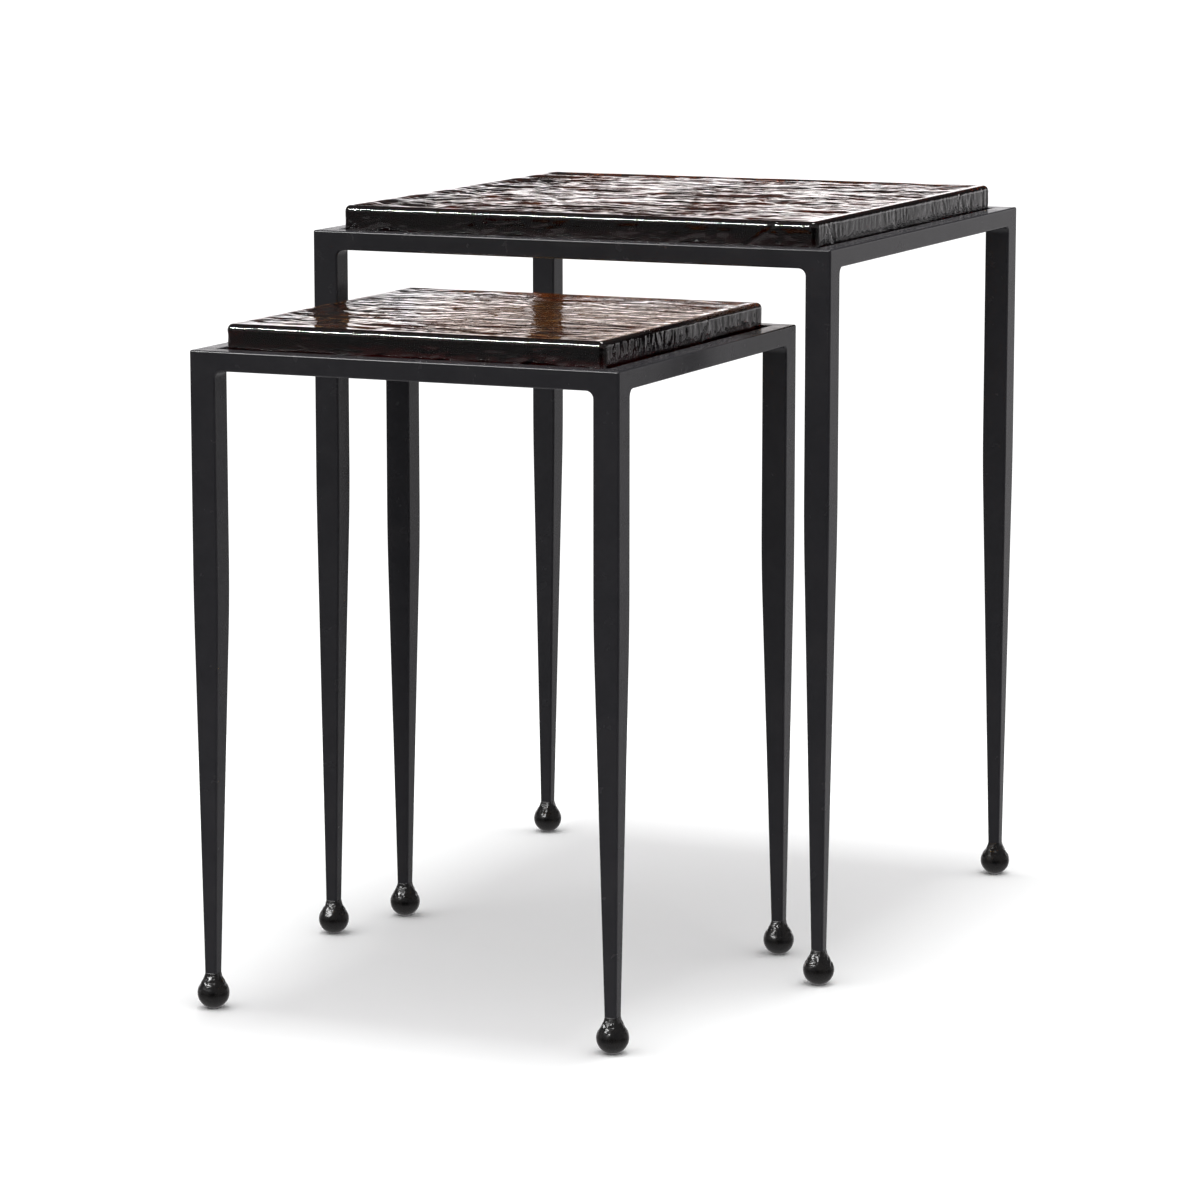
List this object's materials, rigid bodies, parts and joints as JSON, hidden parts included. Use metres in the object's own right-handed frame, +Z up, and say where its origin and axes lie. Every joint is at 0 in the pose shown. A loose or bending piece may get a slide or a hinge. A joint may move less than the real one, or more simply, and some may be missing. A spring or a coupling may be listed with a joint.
{
  "type": "nesting tables",
  "caption": "Square iron end tables with tapered legs, ball feet and thick lift-out amber glass tops; the smaller slides under the larger.",
  "frame": {"origin": "on the floor, at the middle of the box around both tables with the small one half drawn out", "axes": "+Z up; +Y from the drawn-out small table towards the back of the large table; +X to the right seen from the small table"},
  "size_m": [0.46, 0.7202, 0.6096],
  "materials": {
    "black_iron": "satin blackened iron with softened edges",
    "amber_glass": "glossy cast glass, rippled, dark amber brown",
    "clear_pad": "clear soft pad"
  },
  "bodies": {
    "large_table": {"large_front_rail": "black_iron", "large_right_rail": "black_iron", "large_back_rail": "black_iron", "large_left_rail": "black_iron", "large_front_left_leg": "black_iron", "large_front_right_leg": "black_iron", "large_back_right_leg": "black_iron", "large_back_left_leg": "black_iron", "large_front_left_ball_foot": "black_iron", "large_front_right_ball_foot": "black_iron", "large_back_right_ball_foot": "black_iron", "large_back_left_ball_foot": "black_iron", "large_front_ledge": "black_iron", "large_right_ledge": "black_iron", "large_back_ledge": "black_iron", "large_left_ledge": "black_iron", "large_glass_pads": "clear_pad"},
    "small_table": {"small_front_rail": "black_iron", "small_right_rail": "black_iron", "small_back_rail": "black_iron", "small_left_rail": "black_iron", "small_front_left_leg": "black_iron", "small_front_right_leg": "black_iron", "small_back_right_leg": "black_iron", "small_back_left_leg": "black_iron", "small_front_left_ball_foot": "black_iron", "small_front_right_ball_foot": "black_iron", "small_back_right_ball_foot": "black_iron", "small_back_left_ball_foot": "black_iron", "small_front_ledge": "black_iron", "small_right_ledge": "black_iron", "small_back_ledge": "black_iron", "small_left_ledge": "black_iron", "small_glass_pads": "clear_pad"},
    "large_glass": {"large_glass_top": "amber_glass"},
    "small_glass": {"small_glass_top": "amber_glass"}
  },
  "joints": [
    {"name": "nest_slide", "type": "slide", "parent": "large_table", "child": "small_table", "axis": [0, 1, 0], "range_m": [-0.12, 0.3068]},
    {"name": "large_glass_lift", "type": "slide", "parent": "large_table", "child": "large_glass", "axis": [0, 0, 1], "range_m": [0, 0.06]},
    {"name": "small_glass_lift", "type": "slide", "parent": "small_table", "child": "small_glass", "axis": [0, 0, 1], "range_m": [0, 0.035]}
  ]
}
